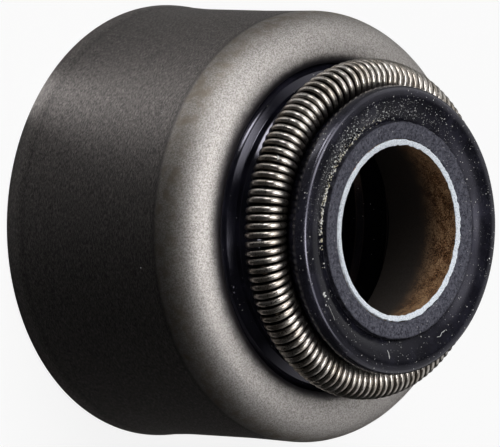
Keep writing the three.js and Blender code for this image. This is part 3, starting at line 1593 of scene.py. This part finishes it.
@dataclass(frozen=True)
class Tent:
    """Light tent seen only in reflections: a dome over a round card that lies about the seal.

    Attributes:
        radius: radius of the dome and of the card, in metres.
        hole: radius at which the card comes out from under the seal, in metres.
        base: brightness where nothing shines.
        inside: brightness of the card under the seal itself.
        spots: the dome's panels: overhead key, its two wings, a side panel and two broad fills.
        strip_azimuth: direction of the bright strip on the card, as the seal's wall shows it.
        strip_reach: half of its angular width.
        strip_glow: its brightness.
        tail_glow: brightness of its fading tail on the camera's side.
        tail_span: angles from the strip at which the tail is full, starts to fade and ends.
        grey_glow: brightness of the card's grey quarter beyond the strip.
        grey_span: the same three angles for the grey quarter.
        wall_radius: radius of the seal's wall, in millimetres.
        strip_swing: angle between the strip and the wall's normal where the wall shows it.
        turns: faces round the dome and the card.
        lift: height of the card above the floor, in metres.
    """

    radius: float = 0.25
    hole: float = 0.00853
    base: float = 0.012
    inside: float = 0.002
    spots: tuple[Spot, ...] = (
        Spot(-60.0, 78.0, 9.0, 14.5),
        Spot(183.0, 65.0, 14.5, 5.2),
        Spot(16.0, 64.0, 11.0, 3.6),
        Spot(208.0, 25.0, 9.5, 11.0),
        Spot(52.0, 6.0, 37.0, 0.70),
        Spot(133.0, 14.0, 34.0, 0.86),
    )
    strip_azimuth: float = 206.0
    strip_reach: float = 6.0
    strip_glow: float = 2.1
    tail_glow: float = 0.09
    tail_span: Triple = (15.0, 12.0, 62.0)
    grey_glow: float = 0.16
    grey_span: Triple = (20.0, 95.0, 140.0)
    wall_radius: float = 8.3
    strip_swing: float = 32.0
    turns: int = 144
    lift: float = 0.00005

    def above(self, azimuth: float, elevation: float) -> float:
        """Works out the dome's brightness.

        Args:
            azimuth: direction about +Z, in degrees.
            elevation: direction above the floor, in degrees.

        Returns:
            The brightness.
        """
        way = direction(azimuth, elevation)
        return self.base + sum(spot.share(way) for spot in self.spots)

    @staticmethod
    def band(angle: float, span: Triple) -> float:
        """Rises from angle zero to span's first angle, and fades from its second to its third."""
        full, fading, end = span
        return smooth(angle, 0.0, full) * (1.0 - smooth(angle, fading, end))

    def below(self, azimuth: float, radius: float) -> float:
        """Works out the card's brightness.

        Args:
            azimuth: place on the card, in degrees about +Z.
            radius: its distance from the axis, in millimetres.

        Returns:
            The brightness.
        """
        if radius < self.wall_radius:
            return self.inside
        swing = math.radians(self.strip_swing)
        bent = math.degrees(math.asin(min(1.0, self.wall_radius * math.sin(swing) / radius)))
        beyond = wrapped(self.strip_azimuth - (azimuth - bent))
        strip = 1.0 - smooth(abs(beyond), self.strip_reach * 0.5, self.strip_reach * 1.5)
        strip *= 0.5 + 0.5 * smooth(radius, self.wall_radius, self.wall_radius * 1.5)
        tail = self.band(-beyond, self.tail_span)
        grey = self.band(beyond, self.grey_span)
        return self.base + self.strip_glow * strip + self.tail_glow * tail + self.grey_glow * grey

    def panel(self, name: str, rows: list[list[tuple[Vector, float]]]) -> bpy.types.Object:
        """Makes a glowing surface from rows of points.

        Args:
            name: name of the surface.
            rows: each row's points and their brightness.

        Returns:
            The surface, tied to the stage.
        """
        work = bmesh.new()
        store = work.verts.layers.float.new("glow")
        grid = []
        for row in rows:
            line = []
            for place, glow in row:
                vert = work.verts.new(place)
                vert[store] = glow
                line.append(vert)
            grid.append(line)
        for lower, upper in zip(grid, grid[1:]):
            for i in range(len(lower)):
                k = (i + 1) % len(lower)
                work.faces.new((lower[i], lower[k], upper[k], upper[i]))
        surface = Maker.finish_mesh(name, work)
        material = bpy.data.materials.new(name)
        material.use_nodes = True
        tree = material.node_tree
        tree.nodes.clear()
        reader = tree.nodes.new("ShaderNodeAttribute")
        reader.attribute_name = "glow"
        light = tree.nodes.new("ShaderNodeEmission")
        tree.links.new(reader.outputs["Fac"], light.inputs["Strength"])
        end = tree.nodes.new("ShaderNodeOutputMaterial")
        tree.links.new(light.outputs[0], end.inputs["Surface"])
        surface.data.materials.append(material)
        surface.visible_camera = False
        surface.visible_diffuse = False
        surface.visible_transmission = False
        surface.visible_shadow = False
        return surface

    def build(self) -> None:
        """Makes the dome and the card."""
        lift = Vector((0.0, 0.0, self.lift))
        azimuths = [360.0 * i / self.turns for i in range(self.turns)]
        dome = []
        for step in range(46):
            elevation = min(step * 2.0, 89.9)
            row = []
            for azimuth in azimuths:
                place = direction(azimuth, elevation) * self.radius + lift
                row.append((place, self.above(azimuth, elevation)))
            dome.append(row)
        card = []
        radii = [0.0005, self.wall_radius * MM - 0.0001, self.hole]
        radii += [self.hole * (self.radius / self.hole) ** (step / 28) for step in range(1, 29)]
        for radius in radii:
            row = []
            for azimuth in azimuths:
                place = direction(azimuth, 0.0) * radius + lift
                row.append((place, self.below(azimuth, radius / MM)))
            card.append(row)
        self.panel("tent_dome", dome)
        self.panel("tent_card", card)


@dataclass(frozen=True)
class Studio:
    """Pale floor, white surroundings, the softboxes and the light tent.

    Attributes:
        floor_size: edge of the floor, in metres.
        floor_tone: brightness of the floor's own colour.
        white_share: share of plain white in what cameras and gloss see of the floor.
        room_tone: brightness of the room for the light that it gives.
        pad_radius: radius of the black pad under the seal, in metres.
        pad_lift: its height above the floor, in metres.
        pad_corners: number of its corners.
    """

    floor_size: float = 3.0
    floor_tone: float = 0.9
    white_share: float = 0.86
    room_tone: float = 0.25
    pad_radius: float = 0.0078
    pad_lift: float = 0.00003
    pad_corners: int = 48

    def seen(self, tree: bpy.types.NodeTree) -> Socket:
        """Adds nodes that are one for camera, glossy and transmission rays.

        Args:
            tree: the node tree that gets them.

        Returns:
            One where the ray shows the background, otherwise zero.
        """
        path = tree.nodes.new("ShaderNodeLightPath")
        total = path.outputs["Is Camera Ray"]
        for name in ("Is Glossy Ray", "Is Transmission Ray"):
            node = tree.nodes.new("ShaderNodeMath")
            node.operation = "ADD"
            node.use_clamp = True
            tree.links.new(total, node.inputs[0])
            tree.links.new(path.outputs[name], node.inputs[1])
            total = node.outputs[0]
        return total

    def floor(self) -> bpy.types.Object:
        """Makes the floor, which keeps the seal's shadow.

        Returns:
            The floor.
        """
        bpy.ops.mesh.primitive_plane_add(size=self.floor_size)
        plane = bpy.context.object
        plane.name = "floor"
        material = bpy.data.materials.new("pale_floor")
        material.use_nodes = True
        tree = material.node_tree
        tree.nodes.clear()
        matt = tree.nodes.new("ShaderNodeBsdfDiffuse")
        matt.inputs["Color"].default_value = (self.floor_tone, self.floor_tone, self.floor_tone, 1.0)
        white = tree.nodes.new("ShaderNodeEmission")
        mixer = tree.nodes.new("ShaderNodeMixShader")
        share = tree.nodes.new("ShaderNodeMath")
        share.operation = "MULTIPLY"
        share.inputs[1].default_value = self.white_share
        tree.links.new(self.seen(tree), share.inputs[0])
        tree.links.new(share.outputs[0], mixer.inputs[0])
        tree.links.new(matt.outputs[0], mixer.inputs[1])
        tree.links.new(white.outputs[0], mixer.inputs[2])
        end = tree.nodes.new("ShaderNodeOutputMaterial")
        tree.links.new(mixer.outputs[0], end.inputs["Surface"])
        plane.data.materials.append(material)
        return plane

    def pad(self) -> bpy.types.Object:
        """Makes the black pad that keeps bounced light from under the seal out of its bore.

        Returns:
            The pad, which the camera doesn't see.
        """
        work = bmesh.new()
        lift = Vector((0.0, 0.0, self.pad_lift))
        rim = []
        for i in range(self.pad_corners):
            place = direction(360.0 * i / self.pad_corners, 0.0) * self.pad_radius + lift
            rim.append(work.verts.new(place))
        work.faces.new(rim)
        pad = Maker.finish_mesh("black_pad", work)
        material = bpy.data.materials.new("black_pad")
        material.use_nodes = True
        shader = material.node_tree.nodes["Principled BSDF"]
        shader.inputs["Base Color"].default_value = (0.01, 0.01, 0.01, 1.0)
        shader.inputs["Roughness"].default_value = 0.9
        pad.data.materials.append(material)
        pad.visible_camera = False
        return pad

    def room(self) -> None:
        """Sets the world: white to look at, dimmer as a source of light."""
        world = bpy.data.worlds.new("room")
        world.use_nodes = True
        tree = world.node_tree
        back = tree.nodes["Background"]
        strength = tree.nodes.new("ShaderNodeMapRange")
        tree.links.new(self.seen(tree), strength.inputs["Value"])
        strength.inputs["To Min"].default_value = self.room_tone
        strength.inputs["To Max"].default_value = 1.0
        back.inputs["Color"].default_value = (1.0, 1.0, 1.0, 1.0)
        tree.links.new(strength.outputs["Result"], back.inputs["Strength"])
        bpy.context.scene.world = world

    def build(self) -> None:
        """Makes the whole studio."""
        self.room()
        self.floor()
        Tent().build()
        self.pad()
        SoftLamp("front_softbox", 201.0, 52.0, 0.42, 0.28, 4.9).build()
        SoftLamp("side_softbox", 256.0, 60.0, 0.45, 0.40, 0.45).build()
        bpy.context.scene.view_settings.view_transform = "Standard"
        log.info("studio set")


def main() -> None:
    """Builds the camera, the studio and the seal's pieces in order."""
    logging.basicConfig(level=logging.INFO, format="%(name)s: %(message)s")
    CameraView().build()
    Studio().build()
    shell = SteelShell()
    shell.build(SteelFinish().make())
    black_rubber = RubberFinish().make()
    body = RubberBody(shell=shell)
    body.build(black_rubber)
    GarterSpring().build(WireFinish().make())
    StemLiner().build(LinerFinish().make())
    Debris(rubber=body).build(LintFinish(), black_rubber)


if __name__ == "__main__":
    main()
